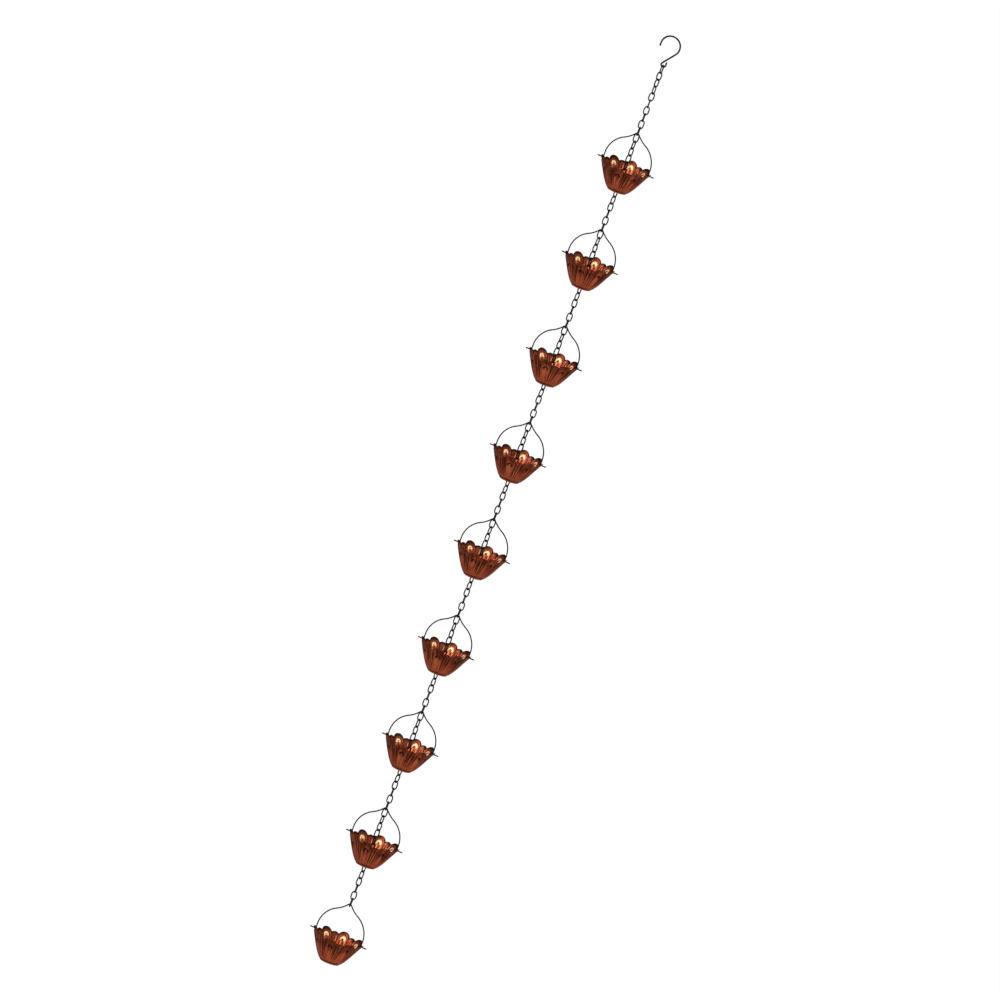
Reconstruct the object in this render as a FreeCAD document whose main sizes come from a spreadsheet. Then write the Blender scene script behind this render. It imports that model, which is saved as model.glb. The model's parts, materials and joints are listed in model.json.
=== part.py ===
# Rain chain: stamped petal cups on wire bails, hung down a welded chain from a wire hook.
# Millimetres, +Z up. The origin is where the hook bears, under the top of its bow.
import math
import os

import FreeCAD
import Part
import Sketcher
from FreeCAD import Placement, Rotation, Vector

doc = FreeCAD.newDocument("rain_chain")
X, Y, Z = Vector(1, 0, 0), Vector(0, 1, 0), Vector(0, 0, 1)


# Driving sizes, one named cell each
sizes = {
    # hook: wire, bow, eye and the two straight ends, measured at the middle of the wire
    "hook_wire": 3.2, "bow_radius": 18.2, "hook_drop": 59.1, "eye_radius": 4.2,
    "hook_tip": 7.0, "hook_tail": 6.5,
    # chain: wire, outer width, pitch and the play between nested links
    "link_wire": 2.4, "link_width": 11.4, "link_pitch": 13.6, "link_play": 0.2,
    "links_above": 10, "links_between": 14, "top_twist": 75, "top_twist_links": 6,
    "run_twist": 60, "run_twist_links": 12,
    # bail: wire, arch, height over the rim holes, reach of its ends and how far it is turned
    "bail_wire": 2.4, "bail_height": 65.5, "bail_half": 45.0, "bail_spring": 9.8,
    "bail_sweep": 60, "bail_elbow": 2.5, "bail_reach": 56.4, "bail_yaw": 4,
    # play of the bail: beside the next link, on the hanger, room to spare there, in the rim
    "bail_side_gap": 0.5, "bail_play": 0.35, "hanger_room": 0.55, "rim_hole_play": 0.7,
    # cup: sheet, heights from the foot, radii, petals
    "cup_count": 9, "sheet_metal": 0.8, "cup_height": 52, "notch_height": 45.5,
    "narrow_height": 47.5, "rim_hole_height": 48.4, "rim_radius": 49.6,
    "wall_bulge": 0.8, "shoulder_radius": 20, "foot_radius": 18.6, "foot_height": 2.6,
    "foot_round": 1.2, "drain_hole": 18, "petals": 8, "wide_petal": 28,
    "petal_relief": 1.6, "narrow_relief": 0.5,
    # scoop pressed into each wide petal: its top under the tip, width, depth and run-out
    "scoop_top": 12.5, "scoop_width": 9.4, "scoop_depth": 1.9, "scoop_run": 24, "scoop_lift": 0.4,
}
sheet = doc.addObject("Spreadsheet::Sheet", "Sizes")
for row, (alias, value) in enumerate(sizes.items(), 1):
    sheet.set(f"A{row}", alias)
    sheet.set(f"B{row}", str(value))
    sheet.setAlias(f"B{row}", alias)
doc.recompute()


def size(alias):
    return float(sheet.get(alias))


def polar(radius, degrees, height=0.0):
    turn = math.radians(degrees)
    return Vector(radius * math.cos(turn), radius * math.sin(turn), height)


def bent_wire(name, wire, start_plane, start, path):
    """A body of round wire swept along a path that is drawn on its XZ plane."""
    body = doc.addObject("PartDesign::Body", name)
    planes = {feature.Role: feature for feature in body.Origin.OriginFeatures}
    line = body.newObject("Sketcher::SketchObject", name + "_path")
    line.AttachmentSupport = [(planes["XZ_Plane"], "")]
    line.MapMode = "FlatFace"
    line.addGeometry(path)
    section = body.newObject("Sketcher::SketchObject", name + "_section")
    section.AttachmentSupport = [(planes[start_plane], "")]
    section.MapMode = "FlatFace"
    section.AttachmentOffset = Placement(start, Rotation())
    section.addGeometry(Part.Circle(Vector(), Z, size(wire) / 2))
    gauge = section.addConstraint(Sketcher.Constraint("Radius", 0, size(wire) / 2))
    section.setExpression(f"Constraints[{gauge}]", f"Sizes.{wire} / 2")
    doc.recompute()
    sweep = body.newObject("PartDesign::AdditivePipe", name + "_sweep")
    sweep.Profile = section
    sweep.Spine = (line, [f"Edge{n}" for n in range(1, len(path) + 1)])
    body.Tip = sweep
    doc.recompute()
    return body


def run(start, end):
    return Part.LineSegment(start, end)


def arc(start, middle, end):
    return Part.Arc(start, middle, end)


def copy_of(name, pieces):
    """One node: copies of finished shapes, each with its own place."""
    node = doc.addObject("Part::Feature", name)
    solids = [shape.copy() for shape, place in pieces]
    for solid, (shape, place) in zip(solids, pieces):
        solid.Placement = place.multiply(shape.Placement)
    node.Shape = solids[0] if len(solids) == 1 else Part.makeCompound(solids)
    return node


# Hook: straight tip, round bow, shank on the cross tangent, eye, short tail beside the shank
bow_top = size("hook_wire") / 2
bow = Vector(0, bow_top - size("bow_radius"), 0)
eye = Vector(0, bow_top - size("hook_drop") + size("eye_radius"), 0)
shank_lean = math.degrees(math.asin(
    (size("bow_radius") + size("eye_radius")) / (bow.y - eye.y)))
hook_start = bow + Vector(-size("bow_radius"), -size("hook_tip"), 0)
hook_path = [
    run(hook_start, bow + polar(size("bow_radius"), 180)),
    arc(bow + polar(size("bow_radius"), 180), bow + polar(size("bow_radius"), 90),
        bow + polar(size("bow_radius"), -shank_lean)),
    run(bow + polar(size("bow_radius"), -shank_lean),
        eye + polar(size("eye_radius"), 180 - shank_lean)),
    arc(eye + polar(size("eye_radius"), 180 - shank_lean),
        eye + polar(size("eye_radius"), 270), eye + polar(size("eye_radius"), 360)),
    run(eye + polar(size("eye_radius"), 360),
        eye + Vector(size("eye_radius"), size("hook_tail"), 0)),
]
hook = bent_wire("hanging_hook", "hook_wire", "XY_Plane",
                 Vector(hook_start.x, 0, hook_start.y), hook_path)
eye_bottom = eye.y - size("eye_radius")


# Links: welded ovals, narrow in the runs, wider where a bail hangs beside the next link
def welded_link(name, width):
    """Two half rings and two straight sides, upright in the XZ plane about the middle."""
    parts = []
    for end, sign in (("top", 1), ("bottom", -1)):
        ring = doc.addObject("Part::Torus", f"{name}_{end}")
        ring.setExpression("Radius1", f"({width} - Sizes.link_wire) / 2")
        ring.setExpression("Radius2", "Sizes.link_wire / 2")
        ring.Angle1, ring.Angle2, ring.Angle3 = -180, 180, 180
        ring.Placement.Rotation = Rotation(X, sign * 90)
        ring.setExpression(
            "Placement.Base.z",
            f"{sign} * (Sizes.link_pitch + Sizes.link_play - {width} + 2 * Sizes.link_wire) / 2")
        parts.append(ring)
    for side, sign in (("left", -1), ("right", 1)):
        leg = doc.addObject("Part::Cylinder", f"{name}_{side}")
        leg.setExpression("Radius", "Sizes.link_wire / 2")
        leg.setExpression("Height", f"{name}_top.Placement.Base.z * 2")
        leg.setExpression("Placement.Base.x", f"{sign} * {name}_top.Radius1")
        leg.setExpression("Placement.Base.z", f"-{name}_top.Placement.Base.z")
        parts.append(leg)
    link = doc.addObject("Part::MultiFuse", name)
    link.Shapes = parts
    doc.recompute()
    return link


link_inside = size("link_pitch") + size("link_play")
run_link = welded_link("link", "Sizes.link_width")
hanger_link = welded_link(
    "hanger", "(3 * Sizes.link_wire + 2 * (Sizes.bail_wire + Sizes.bail_side_gap"
    " + Sizes.bail_play + Sizes.hanger_room))")


# Bail: ends turned out through the rim, upright legs, round shoulders, hollow sweep to a peak
bail_offset = (size("link_wire") + size("bail_wire")) / 2 + size("bail_side_gap")
bend_room = bail_offset + size("hanger_room")
hanger_bend = bend_room + (size("link_wire") + size("bail_wire")) / 2 + size("bail_play")
peak_radius = hanger_bend - math.sqrt(bend_room ** 2 - bail_offset ** 2)
peak = Vector(0, size("bail_height") - peak_radius, 0)
arch = Vector(0, size("bail_spring"), 0)
near, far = size("bail_half") + size("bail_sweep"), peak_radius + size("bail_sweep")
sweep_height = (arch.y + peak.y) / 2 + (near ** 2 - far ** 2) / (2 * (peak.y - arch.y))
hollow = Vector(-math.sqrt(far ** 2 - (sweep_height - peak.y) ** 2), sweep_height, 0)
shoulder_end = arch + (hollow - arch) * (size("bail_half") / near)
peak_start = peak + (hollow - peak) * (peak_radius / far)
hollow_middle = (shoulder_end + peak_start) * 0.5 - hollow
hollow_middle = hollow + hollow_middle.normalize() * size("bail_sweep")
shoulder_turn = math.degrees(math.atan2(hollow.y - arch.y, hollow.x))
elbow = Vector(-size("bail_half") - size("bail_elbow"), size("bail_elbow"), 0)
left_half = [
    run(Vector(-size("bail_reach"), 0, 0), Vector(elbow.x, 0, 0)),
    arc(Vector(elbow.x, 0, 0), elbow + polar(size("bail_elbow"), 315),
        Vector(-size("bail_half"), elbow.y, 0)),
    run(Vector(-size("bail_half"), elbow.y, 0), Vector(-size("bail_half"), arch.y, 0)),
    arc(Vector(-size("bail_half"), arch.y, 0),
        arch + polar(size("bail_half"), (180 + shoulder_turn) / 2), shoulder_end),
    arc(shoulder_end, hollow_middle, peak_start),
]


def mirrored(curve):
    """The same stretch on the right, running the other way."""
    ends = [Vector(-p.x, p.y, 0) for p in (curve.EndPoint, curve.StartPoint)]
    if isinstance(curve, Part.LineSegment):
        return run(*ends)
    middle = curve.value((curve.FirstParameter + curve.LastParameter) / 2)
    return arc(ends[0], Vector(-middle.x, middle.y, 0), ends[1])


bail_path = left_half + [
    arc(peak_start, Vector(0, size("bail_height"), 0), Vector(-peak_start.x, peak_start.y, 0))
] + [mirrored(curve) for curve in reversed(left_half)]
bail = bent_wire("bail", "bail_wire", "YZ_Plane", Vector(0, 0, -size("bail_reach")), bail_path)


# Cup: rings of petal arcs joined from the drain hole out, up the wall, over the rim and back
petal_pitch = 360 / size("petals")
narrow_petal = petal_pitch - size("wide_petal")


def wall_point(height, inset):
    """Radius and height on the wall, or on its inner face with the sheet as inset."""
    rise = size("cup_height") - size("foot_height")
    reach = size("rim_radius") - size("shoulder_radius")
    share = (height - size("foot_height")) / rise
    out, up = reach * size("wall_bulge"), rise * share ** (1 - size("wall_bulge"))
    long = math.hypot(out, up)
    radius = size("shoulder_radius") + reach * share ** size("wall_bulge")
    return radius - inset * up / long, height + inset * out / long, share


def petal_ring(valley, wide, narrow):
    """A closed wire of wide and narrow petal arcs through (radius, height) points."""
    edges = []
    for number in range(int(size("petals"))):
        for middle, half, crest in (
                (number * petal_pitch, size("wide_petal") / 2, wide),
                ((number + 0.5) * petal_pitch, narrow_petal / 2, narrow)):
            edges.append(Part.Arc(
                polar(valley[0], middle - half, valley[1]),
                polar(crest[0], middle, crest[1]),
                polar(valley[0], middle + half, valley[1])).toShape())
    return Part.Wire(edges)


def wall_ring(heights, inset):
    """A ring on the wall whose valleys, wide crests and narrow crests have these heights."""
    points = []
    for height, relief in zip(heights, ("petal_relief", None, "narrow_relief")):
        radius, level, share = wall_point(height, inset)
        points.append((radius - (size(relief) * share if relief else 0), level))
    return petal_ring(*points)


def round_ring(radius, height):
    return petal_ring((radius, height), (radius, height), (radius, height))


def wall(inset):
    levels = [size("foot_height") + share * (size("notch_height") - size("foot_height"))
              for share in (0, 0.1, 0.35, 0.7)]
    rim = [size("notch_height"), size("cup_height"), size("narrow_height")]
    return [wall_ring([level] * 3, inset) for level in levels] + [wall_ring(rim, inset)]


sheet_metal = size("sheet_metal")
outer_wall, inner_wall = wall(0), wall(sheet_metal)
drain = size("drain_hole") / 2
foot_outside = [
    round_ring(drain, 0), round_ring(size("foot_radius") - size("foot_round"), 0),
    round_ring(size("foot_radius"), size("foot_round")),
    round_ring(size("foot_radius"), size("foot_height")), outer_wall[0]]
foot_inside = [
    inner_wall[0],
    round_ring(size("foot_radius") - sheet_metal, size("foot_height") + sheet_metal),
    round_ring(size("foot_radius") - sheet_metal, size("foot_round") + sheet_metal / 2),
    round_ring(size("foot_radius") - size("foot_round") - sheet_metal / 2, sheet_metal),
    round_ring(drain, sheet_metal)]
strips = [Part.makeLoft(outer_wall, False, False), Part.makeLoft(inner_wall, False, False)]
for rings in (foot_outside, [outer_wall[-1], inner_wall[-1]], foot_inside,
              [foot_inside[-1], foot_outside[0]]):
    strips += [Part.makeRuledSurface(*pair) for pair in zip(rings, rings[1:])]
stamping = Part.makeCompound(strips)
stamping.sewShape()
pressed = doc.addObject("Part::Feature", "cup_stamping")
pressed.Shape = Part.makeSolid(Part.Shell(stamping.Faces))


# Scoops: ball-nosed dies pressed into the wide petals, deep at the arch, running out below
scoop_radius = (size("scoop_width") ** 2 / 4 + size("scoop_depth") ** 2) / (2 * size("scoop_depth"))
arch_level = size("cup_height") - size("scoop_top") - size("scoop_width") / 2
nose = wall_point(arch_level, size("scoop_depth") - scoop_radius)
tail = wall_point(arch_level - size("scoop_run"), -scoop_radius - size("scoop_lift"))
nose, tail = Vector(nose[0], 0, nose[1]), Vector(tail[0], 0, tail[1])


def dies(name, radius):
    """One ball-nosed die for each wide petal."""
    ball = doc.addObject("Part::Sphere", name + "_nose")
    ball.Radius = radius
    ball.Placement.Base = nose
    shank = doc.addObject("Part::Cylinder", name + "_shank")
    shank.Radius, shank.Height = radius, (tail - nose).Length
    shank.Placement = Placement(nose, Rotation(Z, tail - nose))
    die = doc.addObject("Part::Fuse", name + "_die")
    die.Base, die.Tool = ball, shank
    doc.recompute()
    return copy_of(name, [(die.Shape, Placement(Vector(), Rotation(Z, n * petal_pitch)))
                          for n in range(int(size("petals")))])


# The bumps inside keep only what lies within the sheet's middle, so they grow out of the wall
core_inset, core_wall = 0.75 * sheet_metal, []
for share in (0.02, 0.15, 0.35, 0.55, 0.75, 0.95):
    level = size("foot_height") + share * (size("notch_height") - size("foot_height"))
    radius, height, _ = wall_point(level, core_inset)
    core_wall.append(Vector(radius, 0, height))
core_curve = Part.BSplineCurve()
core_curve.interpolate(core_wall)
low_middle, high_middle = Vector(0, 0, core_wall[0].z), Vector(0, 0, core_wall[-1].z)
core_outline = Part.Wire([
    core_curve.toShape(), Part.makeLine(core_wall[-1], high_middle),
    Part.makeLine(high_middle, low_middle), Part.makeLine(low_middle, core_wall[0])])
core = doc.addObject("Part::Feature", "cup_core")
core.Shape = Part.Face(core_outline).revolve(Vector(), Z, 360)
raised = doc.addObject("Part::Common", "raised_scoops")
raised.Base, raised.Tool = dies("punched", scoop_radius + sheet_metal), core
raised_cup = doc.addObject("Part::Fuse", "raised_cup")
raised_cup.Base, raised_cup.Tool = pressed, raised
scooped_cup = doc.addObject("Part::Cut", "scooped_cup")
scooped_cup.Base, scooped_cup.Tool = raised_cup, dies("pressed", scoop_radius)
rim_holes = doc.addObject("Part::Cylinder", "rim_holes")
rim_holes.setExpression("Radius", "(Sizes.bail_wire + Sizes.rim_hole_play) / 2")
rim_holes.setExpression("Height", "2 * Sizes.bail_reach")
rim_holes.setExpression("Placement.Base.x", "-Sizes.bail_reach")
rim_holes.setExpression("Placement.Base.z", "Sizes.rim_hole_height")
rim_holes.Placement.Rotation = Rotation(Y, 90)
cup = doc.addObject("Part::Cut", "cup")
cup.Base, cup.Tool = scooped_cup, rim_holes
doc.recompute()


# Assembly: links down the chain line, a bail and a cup at each hanger link
above, between = int(size("links_above")), int(size("links_between"))
cups = int(size("cup_count"))
first_link = eye_bottom + size("hook_wire") / 2 + size("link_play") - link_inside / 2
yaw = -size("bail_yaw")


def link_turn(number):
    """How far a link is turned: crosswise at each hanger, with the chain's slack twist."""
    if number <= above:
        eased = min((number - 1) / size("top_twist_links"), 1)
        twist = size("top_twist") * (1 - eased * eased * (3 - 2 * eased))
    else:
        eased = min((number - above - 1) % between / (size("run_twist_links") - 1), 1)
        twist = yaw * (1 - eased) - size("run_twist") * math.sin(math.pi * eased)
    return (90 if (number - above) % 2 == 0 else 0) + twist


def link_place(number):
    level = first_link - (number - 1) * size("link_pitch")
    return Placement(Vector(0, 0, level), Rotation(Z, link_turn(number)))


def chain(name, first, last):
    return copy_of(name, [(run_link.Shape, link_place(n)) for n in range(first, last + 1)])


nodes = [hook, chain("top_chain", 1, above - 1)]
bail_lean = math.degrees(math.asin(bail_offset / size("bail_height")))
bail_turn = Rotation(Z, yaw).multiply(Rotation(X, bail_lean))
for level in range(1, cups + 1):
    hanger = above + (level - 1) * between
    nodes.append(copy_of(f"hanger_link_{level}", [(hanger_link.Shape, link_place(hanger))]))
    bend = link_place(hanger).Base.z - link_inside / 2 - size("link_wire") / 2
    peak_point = bail_turn.multVec(Vector(0, 0, size("bail_height")))
    rim_point = Vector(0, peak_point.y, bend + peak_radius) - peak_point
    nodes.append(copy_of(f"bail_{level}", [(bail.Shape, Placement(rim_point, bail_turn))]))
    foot_point = rim_point - Z * size("rim_hole_height")
    nodes.append(copy_of(
        f"rain_cup_{level}", [(cup.Shape, Placement(foot_point, Rotation(Z, yaw)))]))
    if level < cups:
        nodes.append(chain(f"chain_run_{level}", hanger + 1, hanger + between - 1))
doc.recompute()

# Every feature has to be sound before anything is written
for item in doc.Objects:
    if {"Invalid", "Error"} & set(item.State):
        raise RuntimeError(f"{item.Name} did not compute: {item.State}")
os.makedirs("parts", exist_ok=True)
for node in nodes:
    if not node.Shape.isValid() or not node.Shape.Solids:
        raise RuntimeError(f"{node.Name} is not a sound solid")
    node.Shape.exportStep(f"parts/{node.Name}.step")
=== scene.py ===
# Rain chain: nine stamped, coppered petal cups on black wire bails, hung down a welded chain.
# Metres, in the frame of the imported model: the hook bears at the origin, and +Z is up.
import json
import math

import bpy
import numpy as np
from mathutils import Matrix, Vector


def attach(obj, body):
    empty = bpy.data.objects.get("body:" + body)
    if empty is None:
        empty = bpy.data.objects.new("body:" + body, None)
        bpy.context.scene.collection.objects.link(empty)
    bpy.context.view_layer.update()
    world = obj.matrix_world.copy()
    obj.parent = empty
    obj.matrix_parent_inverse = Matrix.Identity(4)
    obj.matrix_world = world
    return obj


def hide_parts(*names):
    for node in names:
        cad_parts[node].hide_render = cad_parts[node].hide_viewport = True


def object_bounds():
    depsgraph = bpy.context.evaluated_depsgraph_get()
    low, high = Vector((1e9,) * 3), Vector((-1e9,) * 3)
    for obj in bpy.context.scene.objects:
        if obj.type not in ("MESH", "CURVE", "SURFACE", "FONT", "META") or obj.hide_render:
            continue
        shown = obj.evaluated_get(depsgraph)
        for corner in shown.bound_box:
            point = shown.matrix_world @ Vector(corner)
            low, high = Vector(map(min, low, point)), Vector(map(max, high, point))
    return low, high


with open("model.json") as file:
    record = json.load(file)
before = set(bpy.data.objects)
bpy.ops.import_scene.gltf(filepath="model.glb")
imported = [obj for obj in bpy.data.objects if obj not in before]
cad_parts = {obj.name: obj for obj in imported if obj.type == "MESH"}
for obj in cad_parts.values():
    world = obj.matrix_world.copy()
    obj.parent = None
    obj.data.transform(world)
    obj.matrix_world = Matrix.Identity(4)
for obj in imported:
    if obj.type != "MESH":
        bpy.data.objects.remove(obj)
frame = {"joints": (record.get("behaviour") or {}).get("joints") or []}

cad_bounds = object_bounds()


# Hanging hook. One length of 3.2 mm steel wire, bent cold into a bow that drops over a gutter
# bracket and a small closed eye for the chain. Its cut ends are tumbled round, and it is
# dipped in a thin satin-black coat, as all of the wire on the chain is.
class Value:
    """A node's output. Arithmetic on it adds Math nodes to the same tree."""

    def __init__(self, tree, socket=None):
        self.tree, self.socket = tree, socket

    def node(self, kind, settings={}, inputs={}, output=0):
        """One output of a new node. Inputs go by name or number, a list for several links."""
        made = self.tree.nodes.new(kind)
        for name, setting in settings.items():
            setattr(made, name, setting)
        for name, given in inputs.items():
            socket = made.inputs[name] if isinstance(name, int) else next(
                s for s in made.inputs if s.enabled and s.name == name)
            for item in given if isinstance(given, list) else [given]:
                if isinstance(item, Value):
                    self.tree.links.new(item.socket, socket)
                else:
                    socket.default_value = item
        sockets = [s for s in made.outputs if s.enabled]
        return Value(self.tree, sockets[output]) if sockets else None

    def other(self, name):
        """Another output of the same node."""
        return Value(self.tree, self.socket.node.outputs[name])

    def math(self, operation, *terms):
        return self.node("ShaderNodeMath", {"operation": operation}, dict(enumerate(terms)))

    def __add__(self, term):
        return self.math("ADD", self, term)

    def __sub__(self, term):
        return self.math("SUBTRACT", self, term)

    def __rsub__(self, term):
        return self.math("SUBTRACT", term, self)

    def __mul__(self, term):
        return self.math("MULTIPLY", self, term)

    def __truediv__(self, term):
        return self.math("DIVIDE", self, term)

    def __pow__(self, term):
        return self.math("POWER", self, term)

    __radd__, __rmul__ = __add__, __mul__

    def least(self, term):
        return self.math("MINIMUM", self, term)

    def most(self, term):
        return self.math("MAXIMUM", self, term)

    def clamped(self):
        return self.least(1.0).most(0.0)

    def eased(self, low, high):
        """0 at low and before, 1 at high and after, smooth between them."""
        return self.node("ShaderNodeMapRange", {"interpolation_type": "SMOOTHSTEP"},
                         {"Value": self, "From Min": low, "From Max": high})

    def noise(self, scale, detail=3.0, roughness=0.5):
        return self.node("ShaderNodeTexNoise", {}, {
            "Vector": self, "Scale": scale, "Detail": detail, "Roughness": roughness})

    def mix(self, share, colour):
        """This colour, going over to another one by a share."""
        return self.node("ShaderNodeMix", {"data_type": "RGBA"},
                         {"Factor": share, "A": self, "B": (*colour, 1)})


def new_finish(name):
    """A bare material, with the Object coordinates that its patterns lie on."""
    material = bpy.data.materials.new(name)
    material.use_nodes = True
    material.node_tree.nodes.clear()
    return material, Value(material.node_tree).node("ShaderNodeTexCoord").other("Object")


def blend(finish, share, first, second):
    """Two colours mixed by a share that changes over the surface."""
    return finish.node("ShaderNodeMix", {"data_type": "RGBA"},
                       {"Factor": share, "A": (*first, 1), "B": (*second, 1)})


def close_finish(finish, inputs):
    """End a material in one Principled surface with these inputs."""
    surface = finish.node("ShaderNodeBsdfPrincipled", {}, inputs)
    finish.node("ShaderNodeOutputMaterial", {}, {"Surface": surface})


black_coat, coat = new_finish("satin_black_coat")
thin_black, pooled_black = (0.0015, 0.0014, 0.0014), (0.004, 0.0036, 0.0034)
rubbed_black = (0.016, 0.013, 0.011)
pooling = coat.noise(55.0, 4.0, 0.6)
peel = coat.noise(1400.0, 2.0)
rubbed = coat.noise(260.0, 5.0, 0.65).eased(0.58, 0.78)
close_finish(coat, {
    "Base Color": blend(coat, pooling.eased(0.3, 0.7), thin_black, pooled_black)
    .mix(rubbed * 0.4, rubbed_black),
    "Roughness": 0.40 + pooling * 0.12 + rubbed * 0.1, "Specular IOR Level": 0.12,
    "Normal": coat.node("ShaderNodeBump", {}, {
        "Strength": 0.22, "Distance": 0.00012, "Height": peel + pooling * 0.8}),
})


class Shaping:
    """A Geometry Nodes tree for one kind of piece, with its sizes as named inputs."""

    def __init__(self, name, sizes):
        self.tree, self.sizes = bpy.data.node_groups.new(name, "GeometryNodeTree"), sizes
        kinds = {bpy.types.Material: "NodeSocketMaterial", float: "NodeSocketFloat"}
        self.tree.interface.new_socket("Path", in_out="INPUT", socket_type="NodeSocketGeometry")
        self.sockets = {label: self.tree.interface.new_socket(
            label, in_out="INPUT", socket_type=kinds[type(size)]) for label, size in sizes.items()}
        self.tree.interface.new_socket("Piece", in_out="OUTPUT", socket_type="NodeSocketGeometry")
        self.start = Value(self.tree)
        given = self.start.node("NodeGroupInput")
        self.given = {label: given.other(label) for label in ("Path", *sizes)}

    def finish(self, geometry, coats):
        """Smooth and realize the geometry, and coat it: a list of (selection, material)."""
        geometry = self.start.node("GeometryNodeSetShadeSmooth", {}, {0: geometry})
        geometry = self.start.node("GeometryNodeRealizeInstances", {}, {0: geometry})
        for selection, material in coats:
            geometry = self.start.node("GeometryNodeSetMaterial", {}, {
                "Geometry": geometry, "Selection": selection, "Material": material})
        self.start.node("NodeGroupOutput", {}, {0: geometry})

    def mesh(self, data, changes={}):
        """The plain mesh that the tree makes of this data with these sizes."""
        source = bpy.data.objects.new("source", data)
        bpy.context.scene.collection.objects.link(source)
        modifier = source.modifiers.new("shaping", "NODES")
        modifier.node_group = self.tree
        for label, size in {**self.sizes, **changes}.items():
            modifier[self.sockets[label].identifier] = size
        ready = source.evaluated_get(bpy.context.evaluated_depsgraph_get())
        made = bpy.data.meshes.new_from_object(ready)
        source.modifiers.remove(modifier)
        bpy.data.objects.remove(source)
        return made


hook_wire, bow_radius, eye_radius, hook_tip, hook_tail = 0.0032, 0.0182, 0.0042, 0.007, 0.0065
wire_sides, blunt_end = 18, 0.02
bent_wire = Shaping("bent_wire", {"Wire": hook_wire, "Coat": black_coat})
half_wire = bent_wire.given["Wire"] * 0.5
along = bent_wire.start.node("GeometryNodeSplineParameter").other("Length")
whole = bent_wire.start.node("GeometryNodeSplineLength").other("Length")
inward = 1 - (along.least(whole - along) / half_wire).clamped()
bent_wire.finish(bent_wire.start.node("GeometryNodeCurveToMesh", {}, {
    "Curve": bent_wire.given["Path"], "Scale": (1 + blunt_end - inward * inward).least(1.0) ** 0.5,
    "Profile Curve": bent_wire.start.node("GeometryNodeCurvePrimitiveCircle", {}, {
        "Resolution": wire_sides, "Radius": half_wire}), "Fill Caps": True}),
    [(True, bent_wire.given["Coat"])])


def turn_points(middle, radius, start, end, steps):
    """Points round part of a circle in the XZ plane, from one angle to another in degrees."""
    angles = np.radians(np.linspace(start, end, steps))
    return np.column_stack([middle[0] + radius * np.cos(angles), 0 * angles,
                            middle[1] + radius * np.sin(angles)])


def end_points(start, end, wire, rounded=0.55, crowding=1.6, steps=5):
    """Points close together where a cut end is rounded, over a share of the wire's thickness."""
    start, end = np.array([start[0], 0, start[1]]), np.array([end[0], 0, end[1]])
    reach = min(rounded * wire / np.linalg.norm(end - start), 0.9)
    return start + np.linspace(0, 1, steps)[:, None] ** crowding * reach * (end - start)


def path_curve(points, least_gap=2e-5):
    """A curve through the points of a wire, leaving out any that coincide."""
    keep = [points[0]] + [point for before, point in zip(points, points[1:])
                          if np.linalg.norm(point - before) > least_gap]
    curve = bpy.data.curves.new("path", "CURVE")
    curve.dimensions = "3D"
    line = curve.splines.new("POLY")
    line.points.add(len(keep) - 1)
    line.points.foreach_set("co", np.column_stack([keep, np.ones(len(keep))]).ravel())
    return curve


def piece(name, mesh, body, node, place=Matrix()):
    """A finished piece: its place is in its mesh, and it rides on the body of its node."""
    mesh.transform(place)
    made = bpy.data.objects.new(name, mesh)
    bpy.context.scene.collection.objects.link(made)
    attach(made, body)
    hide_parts(node)


pivots = {joint["name"]: Vector(joint["pos_m"]) for joint in frame["joints"]}
bow = np.array([0, hook_wire / 2 - bow_radius])
eye = np.array([0, pivots["hook_swing"].z + eye_radius])
shank_lean = math.degrees(math.asin((bow_radius + eye_radius) / (bow[1] - eye[1])))
hook_points = np.vstack([
    end_points(bow + [-bow_radius, -hook_tip], bow + [-bow_radius, 0], hook_wire),
    turn_points(bow, bow_radius, 180, -shank_lean, 48),
    turn_points(eye, eye_radius, 180 - shank_lean, 360, 28),
    end_points(eye + [eye_radius, hook_tail], eye + [eye_radius, 0], hook_wire)[::-1],
])
piece("hook_wire", bent_wire.mesh(path_curve(hook_points)), "hook", "hanging_hook")


# Chain links. Each is cut from 2.4 mm steel wire, bent with slightly bowed sides round the one
# before it and butt welded on one side, where the joint stands a little proud. The runs hang
# with a slack twist, and a wider link stands crosswise over every cup.
link_wire, link_width, link_pitch, link_play = 0.0024, 0.0114, 0.0136, 0.0002
links_above, links_between, top_twist_links, run_twist_links = 10, 14, 6, 12
top_twist, run_twist, bail_yaw = math.radians(75), math.radians(60), math.radians(-4)
weld_flip_links, bend_steps, link_steps, link_sides = 3, 16, 36, 12
link_inside = link_pitch + link_play
first_link = pivots["hook_swing"].z + hook_wire / 2 + link_play - link_inside / 2

link_chain = Shaping("link_chain", {
    "Wire": link_wire, "Width": link_width - link_wire, "Length": link_inside + link_wire,
    "Bow": 0.22, "Weld": 1.1, "Coat": black_coat})
start, given = link_chain.start, link_chain.given
oblong = start.node("GeometryNodeFilletCurve", {"mode": "POLY"}, {
    "Curve": start.node("GeometryNodeCurvePrimitiveQuadrilateral", {}, {
        "Width": given["Width"], "Height": given["Length"]}),
    "Radius": given["Width"] * 0.5, "Limit Radius": True, "Count": bend_steps})
upright = start.node("GeometryNodeTransform", {}, {
    "Geometry": start.node("GeometryNodeResampleCurve", {}, {
        "Curve": oblong, "Count": link_steps}),
    "Rotation": (math.pi / 2, 0, 0)})
spot = start.node("ShaderNodeSeparateXYZ", {}, {0: start.node("GeometryNodeInputPosition")})
from_middle = spot.other("Z") * 2 / given["Length"]
bowed = start.node("GeometryNodeSetPosition", {}, {
    "Geometry": upright, "Position": start.node("ShaderNodeCombineXYZ", {}, {
        "X": spot * (1 - given["Bow"] * from_middle * from_middle), "Z": spot.other("Z")})})
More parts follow.
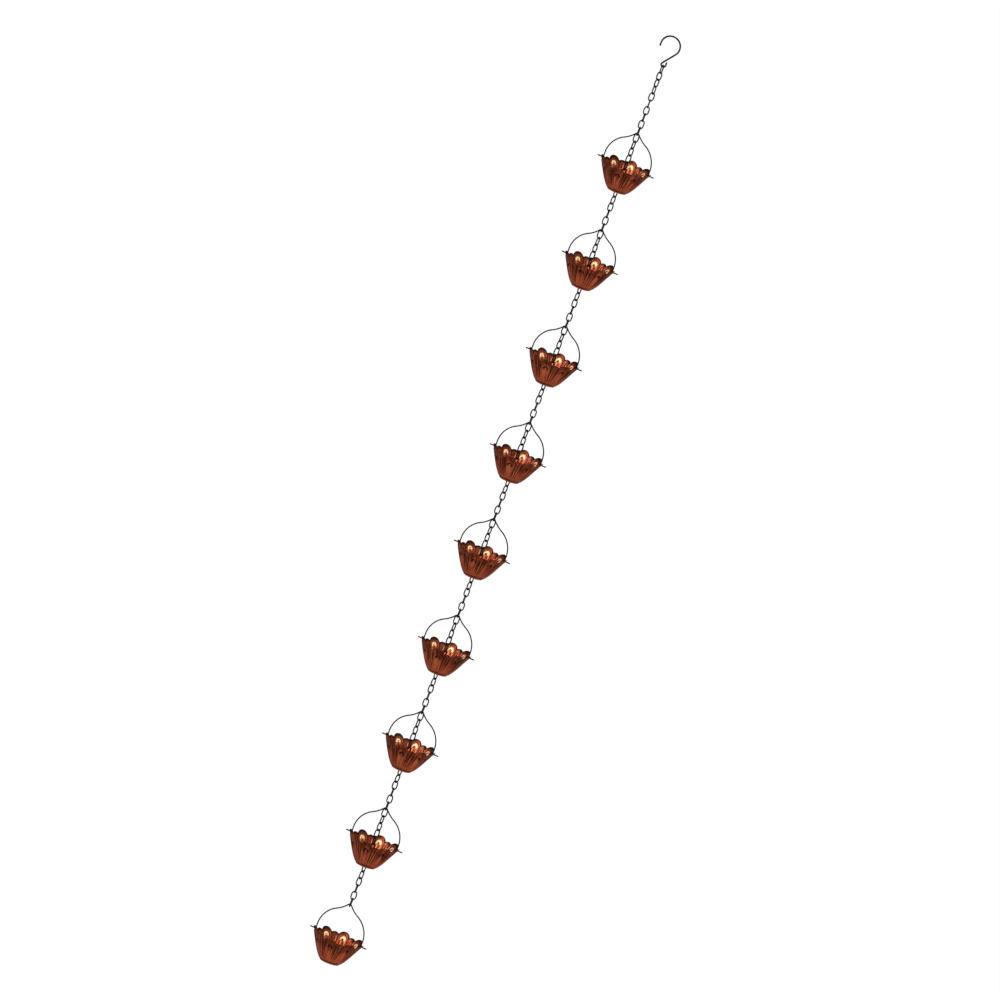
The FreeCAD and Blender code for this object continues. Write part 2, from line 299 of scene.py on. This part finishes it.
from_joint = start.node("ShaderNodeVectorMath", {"operation": "DISTANCE"}, {
    0: start.node("GeometryNodeInputPosition"),
    1: start.node("ShaderNodeCombineXYZ", {}, {"X": given["Width"] * 0.5})})
one_link = start.node("GeometryNodeCurveToMesh", {}, {
    "Curve": bowed,
    "Profile Curve": start.node("GeometryNodeCurvePrimitiveCircle", {}, {
        "Resolution": link_sides, "Radius": given["Wire"] * 0.5}),
    "Scale": 1 + (given["Weld"] - 1) * (1 - from_joint.eased(0.0, given["Wire"]))})
turned = start.node("FunctionNodeAxisAngleToRotation", {}, {
    "Axis": (0, 0, 1), "Angle": start.node(
        "GeometryNodeInputNamedAttribute", {"data_type": "FLOAT"}, {"Name": "turn"})})
link_chain.finish(start.node("GeometryNodeInstanceOnPoints", {}, {
    "Points": given["Path"], "Instance": one_link, "Rotation": turned}),
    [(True, given["Coat"])])


def link_turn(number):
    """How far a link is turned: crosswise at each hanger, with the chain's slack twist."""
    if number <= links_above:
        eased = min((number - 1) / top_twist_links, 1)
        twist = top_twist * (1 - eased * eased * (3 - 2 * eased))
    else:
        eased = min((number - links_above - 1) % links_between / (run_twist_links - 1), 1)
        twist = bail_yaw * (1 - eased) - run_twist * math.sin(math.pi * eased)
    crosswise = math.pi / 2 if (number - links_above) % 2 == 0 else 0
    weld_side = math.pi if number % weld_flip_links == 0 else 0
    return crosswise + twist + weld_side


def chain(name, node, body, first, last, changes={}):
    """One piece of the links with these numbers, counted from the hook."""
    numbers = range(first, last + 1)
    centres = bpy.data.meshes.new("centres")
    centres.from_pydata(
        [(0, 0, first_link - (number - 1) * link_pitch) for number in numbers], [], [])
    centres.attributes.new("turn", "FLOAT", "POINT").data.foreach_set(
        "value", [link_turn(number) for number in numbers])
    piece(name, link_chain.mesh(centres, changes), body, node)


hanger_width = 0.0148
levels = range(1, 10)
chain("links_top", "top_chain", "top_chain", 1, links_above - 1)
for level in levels:
    hanger = links_above + (level - 1) * links_between
    chain(f"link_hanger_{level}", f"hanger_link_{level}", f"hanger_{level}", hanger, hanger,
          {"Width": hanger_width - link_wire, "Bow": 0.0})
    if level < levels[-1]:
        chain(f"links_run_{level}", f"chain_run_{level}", f"drop_{level}",
              hanger + 1, hanger + links_between - 1)


# Bails. Each is one length of 2.4 mm wire, coated as the chain is: its ends are turned out
# through two holes in the cup's rim, its legs rise into round shoulders, and both shoulders
# sweep up to a narrow peak that hangs in the hanger link.
bail_wire, bail_height, bail_half, bail_spring = 0.0024, 0.0655, 0.045, 0.0098
bail_sweep, bail_elbow, bail_reach = 0.060, 0.0025, 0.0564
bail_side_gap, bail_play = 0.0005, 0.00035
bail_offset = (link_wire + bail_wire) / 2 + bail_side_gap
hanger_bend = (hanger_width - link_wire) / 2
bend_room = hanger_bend - (link_wire + bail_wire) / 2 - bail_play
peak_radius = hanger_bend - math.sqrt(bend_room ** 2 - bail_offset ** 2)
peak_level = bail_height - peak_radius
from_spring, from_peak = bail_half + bail_sweep, peak_radius + bail_sweep
sweep_level = (bail_spring + peak_level) / 2 + (from_spring ** 2 - from_peak ** 2) / (
    2 * (peak_level - bail_spring))
sweep_out = math.sqrt(from_peak ** 2 - (sweep_level - peak_level) ** 2)
shoulder_turn = math.degrees(math.atan2(sweep_level - bail_spring, -sweep_out))
peak_turn = math.degrees(math.atan2(sweep_level - peak_level, -sweep_out))
left_half = np.vstack([
    end_points((-bail_reach, 0), (-bail_half - bail_elbow, 0), bail_wire),
    turn_points((-bail_half - bail_elbow, bail_elbow), bail_elbow, 270, 360, 9),
    turn_points((0, bail_spring), bail_half, 180, shoulder_turn, 26),
    turn_points((-sweep_out, sweep_level), bail_sweep, shoulder_turn - 180, peak_turn - 180, 22),
    turn_points((0, peak_level), peak_radius, peak_turn, 90, 8),
])
bail_points = np.vstack([left_half, left_half[::-1][1:] * [-1, 1, 1]])
bail_mesh = bent_wire.mesh(path_curve(bail_points), {"Wire": bail_wire})
bail_lean = math.asin(bail_offset / bail_height)
for level in levels:
    place = (Matrix.Translation(pivots[f"tilt_{level}"]) @ Matrix.Rotation(bail_yaw, 4, "Z")
             @ Matrix.Rotation(bail_lean, 4, "X"))
    piece(f"bail_wire_{level}", bail_mesh.copy(), f"drop_{level}", f"bail_{level}",
          place)


# Petal cups. Each is pressed from one round of 0.8 mm steel sheet: eight wide petals, each with
# a scoop in an arched frame, eight narrow ones with fine veins, a scalloped rim and a stepped
# foot. The copper coat over it is antiqued, dark in its lines and hollows; beyond that, the
# outside is painted darker, as shade, and the inside brighter, as the light that falls into the
# cup.
arch_span = 4.0


def pressing(finish, raised):
    """What the die marked: place up the wall, lines, distance from the hoop, height over it."""
    marks = finish.node("ShaderNodeAttribute", {"attribute_name": "pressing"})
    parts = finish.node("ShaderNodeSeparateColor", {}, {"Color": marks})
    off_arch = arch_span - parts.other("Green") * arch_span
    over_arch = marks.other("Alpha") * (arch_span * 2) - arch_span
    beside = (off_arch ** 2 - over_arch * over_arch).most(0.0)
    hoop = (beside + (over_arch - raised).most(0.0) ** 2) ** 0.5
    return parts, parts.other("Blue"), hoop, over_arch - raised


def drawn_streaks(finish):
    """Uneven streaks that run up the wall, as the sheet was drawn over the die."""
    x = finish.node("ShaderNodeSeparateXYZ", {}, {0: finish})
    y, z = x.other("Y"), x.other("Z")
    radius = (x * x + y * y) ** 0.5
    return finish.node("ShaderNodeCombineXYZ", {}, {
        "X": x / radius, "Y": y / radius, "Z": z * 4.0}).noise(9.0, 1.0, 0.4)


# Outside: streaked copper with patina and dark lines, and the whole side painted darker, as shade
antiqued_copper_in_shade, tone = new_finish("antiqued_copper_in_shade")
deep_tone, light_tone = (0.105, 0.017, 0.005), (0.362, 0.081, 0.035)
upper_shade_tone, patina_tone = (0.044, 0.008, 0.002), (0.060, 0.012, 0.004)
line_tone, scoop_shade_tone = (0.022, 0.004, 0.001), (0.006, 0.002, 0.002)
even_streak = 0.58
climbing, grooves, hoop, over_arch = pressing(tone, 0.0)
# Painted shade: near-black under the top edge of each scoop and down its sides, under the step
painted_scoop_shade = hoop.eased(0.25, 0.55) * (1 - hoop.eased(0.95, 1.3)) * over_arch.eased(-1.6, 0.2)
foot_line = climbing.eased(0.0, 0.02) * (1 - climbing.eased(0.03, 0.08))
clouds = tone.noise(42.0, 4.0, 0.6)
grain = tone.noise(900.0, 3.0, 0.6)
patina = tone.noise(210.0, 4.0, 0.65).eased(0.45, 0.7)
uneven = drawn_streaks(tone).eased(0.36, 0.62) - even_streak
drawn = even_streak + uneven * (0.25 + climbing.eased(0.1, 0.7) * 0.75)
# Painted shade: the outer wall darker towards the rim, unevenly
painted_upper_shade = climbing.eased(0.35, 1.0) * (0.5 + clouds.eased(0.35, 0.65) * 0.4)
dark_lines = (grooves * (0.45 + climbing * 0.55)).most(foot_line).eased(0.0, 0.6) * 0.85
close_finish(tone, {
    "Base Color": blend(tone, drawn, deep_tone, light_tone).mix(painted_upper_shade, upper_shade_tone)
    .mix(patina * 0.22, patina_tone).mix(dark_lines, line_tone).mix(painted_scoop_shade, scoop_shade_tone),
    "Metallic": 0.6, "Roughness": 0.33 + clouds * 0.1 + patina * 0.1,
    "Specular Tint": (0.4, 0.2, 0.12, 1), "Specular IOR Level": 0.12,
    "Normal": tone.node("ShaderNodeBump", {}, {
        "Strength": 0.18, "Distance": 0.0002, "Height": grain + clouds * 1.5}),
})

# Inside: the same copper painted brighter, as the light that falls into the cup, with a dark rim
# band
copper_in_painted_light, lit_inside = new_finish("copper_in_painted_light")
dull_copper, clear_copper = (0.30, 0.060, 0.025), (0.49, 0.125, 0.060)
depth_shade_copper, rim_copper = (0.075, 0.012, 0.003), (0.022, 0.004, 0.001)
line_copper = (0.05, 0.009, 0.003)
warm_painted_highlight, pale_painted_highlight = (1.0, 0.45, 0.18), (1.0, 0.78, 0.44)
# Painted highlight: a warm to pale crescent over each scoop, set above its arch, less metallic
highlight_raise = 0.9
climbing, grooves, hoop, over_arch = pressing(lit_inside, highlight_raise)
painted_highlight = hoop.eased(0.15, 0.7) * (1 - hoop.eased(0.75, 1.4)) * over_arch.eased(-1.6, 0.2)
clouds = lit_inside.noise(45.0, 4.0, 0.6)
grain = lit_inside.noise(1100.0, 3.0, 0.6)
# Painted shade: the inside darker deep down in the cup, towards the foot
close_finish(lit_inside, {
    "Base Color": blend(lit_inside, clouds.eased(0.3, 0.7), dull_copper, clear_copper)
    .mix(1 - climbing.eased(0.15, 0.65), depth_shade_copper)
    .mix(climbing.eased(0.84, 0.96) * 0.88, rim_copper)
    .mix(grooves * 0.7, line_copper).mix(painted_highlight, warm_painted_highlight)
    .mix(painted_highlight.eased(0.3, 0.8), pale_painted_highlight),
    "Metallic": 0.9 - painted_highlight * 0.7, "Roughness": 0.26 + clouds * 0.12 - painted_highlight * 0.06,
    "Specular Tint": (0.8, 0.45, 0.3, 1),
    "Normal": lit_inside.node("ShaderNodeBump", {}, {
        "Strength": 0.08, "Distance": 0.0002, "Height": grain + clouds * 1.2}),
})

rim_hole_height, petals = 0.0484, 8
wide_steps, narrow_steps, foot_rows, wall_rows, hole_sides = 28, 14, 10, 48, 24
least_share, weld_gap, sharp_angle = 1e-4, 1e-6, math.radians(50)
petal_cup = Shaping("petal_cup", {
    "Sheet": 0.0008, "Tip height": 0.052, "Notch height": 0.0455, "Narrow height": 0.0475,
    "Rim radius": 0.0496, "Shoulder radius": 0.020, "Wall bulge": 0.8,
    "Foot radius": 0.0186, "Foot height": 0.0026, "Foot round": 0.0012, "Drain radius": 0.009,
    "Wide half": math.radians(14), "Petal relief": 0.0016, "Narrow relief": 0.0005,
    "Scoop top": 0.0125, "Scoop width": 0.0094, "Scoop depth": 0.0019, "Scoop run": 0.024,
    "Scoop lift": 0.0004, "Frame top": 0.0055, "Frame depth": 0.0006, "Vein depth": 0.0006,
    "Hole radius": 0.00155, "Hole height": rim_hole_height, "Hole reach": bail_reach,
    "Outside": antiqued_copper_in_shade, "Inside": copper_in_painted_light})
start, given = petal_cup.start, petal_cup.given
tip, notch, foot_height = given["Tip height"], given["Notch height"], given["Foot height"]
shoulder, bulge, sheet = given["Shoulder radius"], given["Wall bulge"], given["Sheet"]
rise, reach = tip - foot_height, given["Rim radius"] - shoulder

# One column of the grid for each step round the petals, one row for each step up the sheet
steps = wide_steps + narrow_steps
columns, rows = petals * steps, foot_rows + wall_rows
grid = start.node("GeometryNodeMeshGrid", {}, {
    "Size X": columns, "Size Y": rows, "Vertices X": columns + 1, "Vertices Y": rows + 1})
spot = start.node("ShaderNodeSeparateXYZ", {}, {0: start.node("GeometryNodeInputPosition")})
column = start.math("ROUND", spot + columns / 2)
row = start.math("ROUND", spot.other("Y") + rows / 2)
petal = start.math("FLOOR", (column + 0.5) / steps)
step = column - petal * steps
wide = start.math("LESS_THAN", step, wide_steps - 0.5)
narrow = 1 - wide
across = (wide * (step * (2 / wide_steps) - 1)
          + narrow * ((step - wide_steps) * (2 / narrow_steps) - 1))
wide_half, narrow_half = given["Wide half"], math.pi / petals - given["Wide half"]
off_middle = across * (wide * wide_half + narrow * narrow_half)
turn = (petal + narrow * 0.5) * (math.tau / petals) + off_middle


def crown(half, rise):
    """Height of the round end of a petal over its notches."""
    half_width = (given["Rim radius"] - given["Petal relief"]) * start.math("SINE", half)
    bow = (half_width * half_width + rise * rise) / (rise * 2)
    return (bow * bow - (across * half_width) ** 2).most(0.0) ** 0.5 - bow + rise


def wall_point(height, inset):
    """Radius and height on a petal's middle line, set in from the outer face."""
    share = ((height - foot_height) / rise).most(least_share)
    out, up = reach * bulge, rise * share ** (1 - bulge)
    slant = (out * out + up * up) ** 0.5
    return shoulder + reach * share ** bulge - inset * up / slant, height + inset * out / slant


climb = ((row - foot_rows) / wall_rows).clamped()
rim = notch + wide * crown(wide_half, tip - notch) + narrow * crown(
    narrow_half, given["Narrow height"] - notch)
height = foot_height + climb * (rim - foot_height)
share = (height - foot_height) / rise
fold = across * across * given["Petal relief"] + narrow * (1 - across * across) * given[
    "Narrow relief"]
radius = shoulder + reach * share ** bulge - fold * share
out, up = reach * bulge, rise * share.most(least_share) ** (1 - bulge)
slant = (out * out + up * up) ** 0.5

# Scoop: how far a ball-nosed die, leaned against the wide petal, pushes the sheet inwards
half_scoop, scoop_depth = given["Scoop width"] * 0.5, given["Scoop depth"]
die = (half_scoop * half_scoop + scoop_depth * scoop_depth) / (scoop_depth * 2)
arch_level = tip - given["Scoop top"] - half_scoop
nose_out, nose_up = wall_point(arch_level, scoop_depth - die)
tail_out, tail_up = wall_point(arch_level - given["Scoop run"], -1.0 * (die + given["Scoop lift"]))
die_length = ((tail_out - nose_out) ** 2 + (tail_up - nose_up) ** 2) ** 0.5
die_out, die_up = (tail_out - nose_out) / die_length, (tail_up - nose_up) / die_length
lean, sway = start.math("COSINE", off_middle), start.math("SINE", off_middle)
from_nose, over_nose = radius * lean - nose_out, height - nose_up
down_die = from_nose * die_out + over_nose * die_up
on_die = down_die.most(0.0)
x_gap, y_gap, z_gap = from_nose - on_die * die_out, radius * sway, over_nose - on_die * die_up
facing = (x_gap * lean + y_gap * sway) * up / slant - z_gap * out / slant
chord = facing * facing + die * die - x_gap * x_gap - y_gap * y_gap - z_gap * z_gap
scoop = wide * (facing + chord.most(0.0) ** 0.5).most(0.0)
from_arch = (y_gap * y_gap + down_die * down_die) ** 0.5 / half_scoop

# Frame: a shallow arch round the scoop. Veins: three fine lines down each narrow petal
frame_share, frame_start, frame_growth, frame_taper = 0.76, 0.06, 0.5, 0.35
frame_slope, line_core, line_edge, crease_depth = 0.0008, 0.0003, 0.0012, 0.0003
vein_places = (-0.8, 0.0, 0.8)
petal_half = radius * (wide * wide_half + narrow * narrow_half)
grown = ((share - frame_start) / frame_growth).least(1.0).most(0.02)
frame_half = petal_half * frame_share * grown ** frame_taper
over_frame = (1 - (tip - height - given["Frame top"]) / (given["Frame top"] * 2)).most(0.0)
frame_edge = (1 - ((across * petal_half / frame_half) ** 2 + over_frame ** 2) ** 0.5) * frame_half
frame_fade = wide * share.eased(0.05, 0.25)
frame_press = frame_fade * frame_edge.eased(-frame_slope, frame_slope)
frame_line = frame_fade * 0.4 * (
    1 - start.math("ABSOLUTE", frame_edge).eased(line_core, line_edge))
veins = narrow * share.eased(0.10, 0.22) * (1 - share.eased(0.70, 0.82)) * sum(
    1 - start.math("ABSOLUTE", across - place).eased(0.05, 0.3) for place in vein_places)
creases = share * (1 - ((1 - start.math("ABSOLUTE", across)) * petal_half).eased(0.0, line_edge))
depth = (scoop + frame_press * given["Frame depth"] + veins * given["Vein depth"]
         + creases * crease_depth)

# Foot: flat round the drain hole, a rounded corner, a short riser and a step out to the wall
flat_end, round_end, step_start, riser_end = 0.3, 0.7, 0.8, 0.9
foot_share = (row / foot_rows).clamped()
foot_turn = ((foot_share - flat_end) / (round_end - flat_end)).clamped() * (math.pi / 2)
foot_radius = (given["Drain radius"] + (foot_share / flat_end).clamped() * (
    given["Foot radius"] - given["Foot round"] - given["Drain radius"])
    + start.math("SINE", foot_turn) * given["Foot round"]
    + ((foot_share - step_start) / (1 - step_start)).clamped() * (shoulder - given["Foot radius"]))
riser = ((foot_share - round_end) / (riser_end - round_end)).clamped()
foot_level = ((1 - start.math("COSINE", foot_turn)) * given["Foot round"]
              + riser * (foot_height - given["Foot round"]))
on_wall = start.math("GREATER_THAN", row, foot_rows - 0.5)
final_radius = foot_radius + on_wall * (radius - depth * up / slant - foot_radius)
final_height = foot_level + on_wall * (height + depth * out / slant - foot_level)

# The mesh carries what the finishes need as a colour, with distances scaled to the arch's span
marked = start.node("GeometryNodeStoreNamedAttribute", {
    "data_type": "FLOAT_COLOR", "domain": "POINT"}, {
    "Geometry": grid, "Name": "pressing", "Value": start.node("FunctionNodeCombineColor", {}, {
        "Red": climb, "Green": wide * (1 - from_arch / arch_span).clamped(),
        "Blue": (veins + creases + frame_line).clamped(),
        "Alpha": (0.5 - down_die / (half_scoop * (arch_span * 2))).clamped()})})
bent = start.node("GeometryNodeSetPosition", {}, {
    "Geometry": marked, "Position": start.node("ShaderNodeCombineXYZ", {}, {
        "X": final_radius * start.math("COSINE", turn),
        "Y": final_radius * start.math("SINE", turn), "Z": final_height})})
outer = start.node("GeometryNodeMergeByDistance", {}, {"Geometry": bent, "Distance": weld_gap})
inner = start.node("GeometryNodeExtrudeMesh", {"mode": "FACES"}, {
    "Mesh": start.node("GeometryNodeFlipFaces", {}, {"Mesh": outer}),
    "Offset Scale": sheet, "Individual": False})
inner = start.node("GeometryNodeStoreNamedAttribute", {
    "data_type": "BOOLEAN", "domain": "FACE"}, {
    "Geometry": inner, "Name": "inside", "Value": inner.other("Top")})
shell = start.node("GeometryNodeMergeByDistance", {}, {"Geometry": start.node(
    "GeometryNodeJoinGeometry", {}, {"Geometry": [outer, inner]}), "Distance": weld_gap})
punch = start.node("GeometryNodeTransform", {}, {
    "Geometry": start.node("GeometryNodeMeshCylinder", {}, {
        "Vertices": hole_sides, "Radius": given["Hole radius"], "Depth": given["Hole reach"] * 2}),
    "Rotation": (0, math.pi / 2, 0), "Translation": start.node(
        "ShaderNodeCombineXYZ", {}, {"Z": given["Hole height"]})})
pierced = start.node("GeometryNodeMeshBoolean", {"operation": "DIFFERENCE", "solver": "EXACT"}, {
    "Mesh 1": shell, "Mesh 2": punch})
inside = start.node(
    "GeometryNodeInputNamedAttribute", {"data_type": "BOOLEAN"}, {"Name": "inside"})
petal_cup.finish(pierced, [(True, given["Outside"]), (inside, given["Inside"])])

cup_mesh = petal_cup.mesh(bpy.data.meshes.new("blank"))
cup_mesh.set_sharp_from_angle(angle=sharp_angle)
for level in levels:
    place = (Matrix.Translation(pivots[f"tilt_{level}"] - Vector((0, 0, rim_hole_height)))
             @ Matrix.Rotation(bail_yaw, 4, "Z"))
    piece(f"petal_cup_{level}", cup_mesh.copy(), f"cup_{level}", f"rain_cup_{level}",
          place)


# Studio. The chain hangs clear of a wide pale floor with a low wall far off on each side, under
# an even sky and three wide distant lamps: a high one from behind, a key lamp from the front
# left above, and a low one from the front right. The wall casts no shadow.
floor_drop, floor_reach, wall_height = 0.45, 40.0, 5.0
floor_grey, floor_glow, glow_share, sky_glow = 0.2, 1.07, 0.93, 0.3
low, high = (Vector(corner) for corner in cad_bounds)
middle = (low + high) / 2


def background_rays(shade):
    """1 for rays that show the background: straight, mirrored or through a clear surface."""
    path = shade.node("ShaderNodeLightPath")
    return path.most(path.other("Is Glossy Ray")).most(path.other("Is Transmission Ray"))


floor_mesh = bpy.data.meshes.new("floor")
floor_mesh.from_pydata(
    [(x * floor_reach, y * floor_reach, low.z - floor_drop + up) for up in (0, wall_height)
     for x, y in ((-1, -1), (1, -1), (1, 1), (-1, 1))], [],
    [(0, 1, 2, 3), (0, 4, 5, 1), (1, 5, 6, 2), (2, 6, 7, 3), (3, 7, 4, 0)])
floor = bpy.data.objects.new("floor", floor_mesh)
floor.visible_shadow = False
bpy.context.scene.collection.objects.link(floor)
pale_floor, ground = new_finish("pale_floor")
matt = ground.node("ShaderNodeBsdfDiffuse", {}, {"Color": (floor_grey, floor_grey, floor_grey, 1)})
white = ground.node("ShaderNodeEmission", {}, {"Color": (1, 1, 1, 1), "Strength": floor_glow})
ground.node("ShaderNodeOutputMaterial", {}, {"Surface": ground.node(
    "ShaderNodeMixShader", {}, {0: background_rays(ground) * glow_share, 1: matt, 2: white})})
floor_mesh.materials.append(pale_floor)

world = bpy.data.worlds.new("sky")
bpy.context.scene.world = world
world.use_nodes = True
world.node_tree.nodes.clear()
sky = Value(world.node_tree)
sky.node("ShaderNodeOutputWorld", {}, {"Surface": sky.node("ShaderNodeBackground", {}, {
    "Color": (1, 1, 1, 1), "Strength": sky_glow})})


def lamp(name, strength, spread, towards):
    """A distant lamp: how wide it spreads in degrees, and the way its light travels."""
    light = bpy.data.lights.new(name, "SUN")
    light.energy, light.angle = strength, math.radians(spread)
    made = bpy.data.objects.new(name, light)
    made.rotation_euler = Vector(towards).to_track_quat("-Z", "Y").to_euler()
    bpy.context.scene.collection.objects.link(made)


lamp("high_lamp", 4.0, 20, (-0.15, -0.45, -0.88))
lamp("key_lamp", 1.3, 35, (0.50, 0.65, -0.57))
lamp("fill_lamp", 3.3, 30, (-0.45, 0.88, -0.13))

# Camera: the photograph is nearly parallel, from a little above, and turned so the chain leans
view_turn, view_rise, view_roll = math.radians(8), math.radians(12.4), math.radians(20.444)
view_width, view_distance, aim_left, aim_down = 1.808, 4.0, 0.0031, 0.0018
back = Vector((math.sin(view_turn) * math.cos(view_rise),
               -math.cos(view_turn) * math.cos(view_rise), math.sin(view_rise)))
level_right = Vector((0, 0, 1)).cross(back).normalized()
level_up = back.cross(level_right)
right = level_right * math.cos(view_roll) + level_up * math.sin(view_roll)
upward = level_up * math.cos(view_roll) - level_right * math.sin(view_roll)
lens = bpy.data.cameras.new("camera")
lens.type, lens.ortho_scale, lens.clip_end = "ORTHO", view_width, 200
camera = bpy.data.objects.new("camera", lens)
aim = middle - right * aim_left - upward * aim_down
camera.matrix_world = Matrix.Translation(aim + back * view_distance) @ Matrix(
    (right, upward, back)).transposed().to_4x4()
bpy.context.scene.collection.objects.link(camera)
bpy.context.scene.camera = camera
bpy.context.scene.view_settings.view_transform = "Standard"
